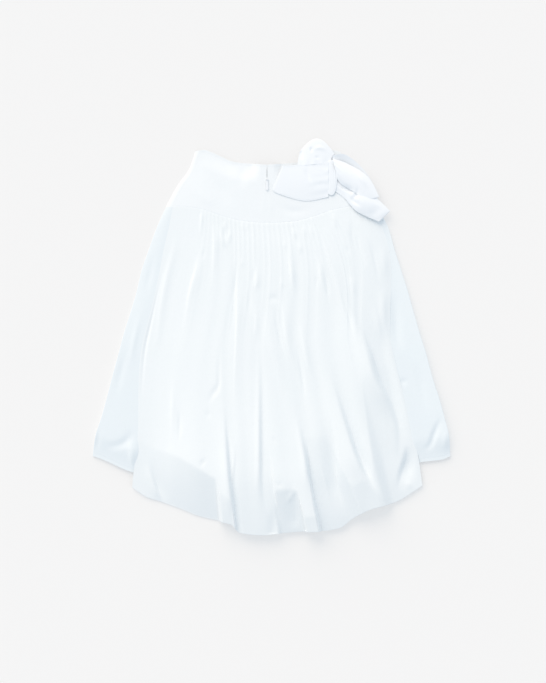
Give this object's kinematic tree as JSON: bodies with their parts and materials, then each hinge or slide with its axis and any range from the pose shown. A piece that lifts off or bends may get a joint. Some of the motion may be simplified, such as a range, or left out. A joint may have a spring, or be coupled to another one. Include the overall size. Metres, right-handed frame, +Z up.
{
  "type": "yoke skirt with gathered puff-hem back and fabric bow",
  "caption": "Cotton skirt laid flat on its front: fitted hip yoke with a zip slit, gathered longer back panel with a puffed hem, plain A-line front and a fabric bow.",
  "frame": {"origin": "middle of the laid-flat skirt's box, at the surface it lies on", "axes": "+Y from the hem to the waist, +X to the right as seen from above, +Z up from the surface; the front of the skirt is underneath"},
  "size_m": [0.8578, 0.948, 0.0474],
  "materials": {
    "cotton": "crisp plain-weave cotton, matt, faintly blue white",
    "zip_tape": "white knitted polyester tape",
    "zip_enamel": "white enamel"
  },
  "bodies": {
    "root": {"front_yoke": "cotton", "front_panel": "cotton", "front_side_left": "cotton", "front_side_right": "cotton", "back_yoke_left": "cotton", "back_yoke_right": "cotton", "back_panel": "cotton", "back_panel_middle": "cotton", "back_panel_lower": "cotton", "back_side_left": "cotton", "back_puff": "cotton", "zip_tape_left": "zip_tape", "zip_tape_right": "zip_tape", "zip_slider": "zip_enamel", "bow_loop_left": "cotton", "bow_loop_top": "cotton", "bow_loop_right": "cotton", "bow_loop_lower": "cotton", "bow_knot": "cotton"},
    "zip_tab": {"zip_pull": "zip_enamel"}
  },
  "joints": [
    {"name": "pull_hinge", "type": "hinge", "parent": "root", "child": "zip_tab", "pos_m": [-0.01075, 0.37682, 0.01291], "axis": [-1, 0, 0], "range_deg": [0, 170]}
  ]
}
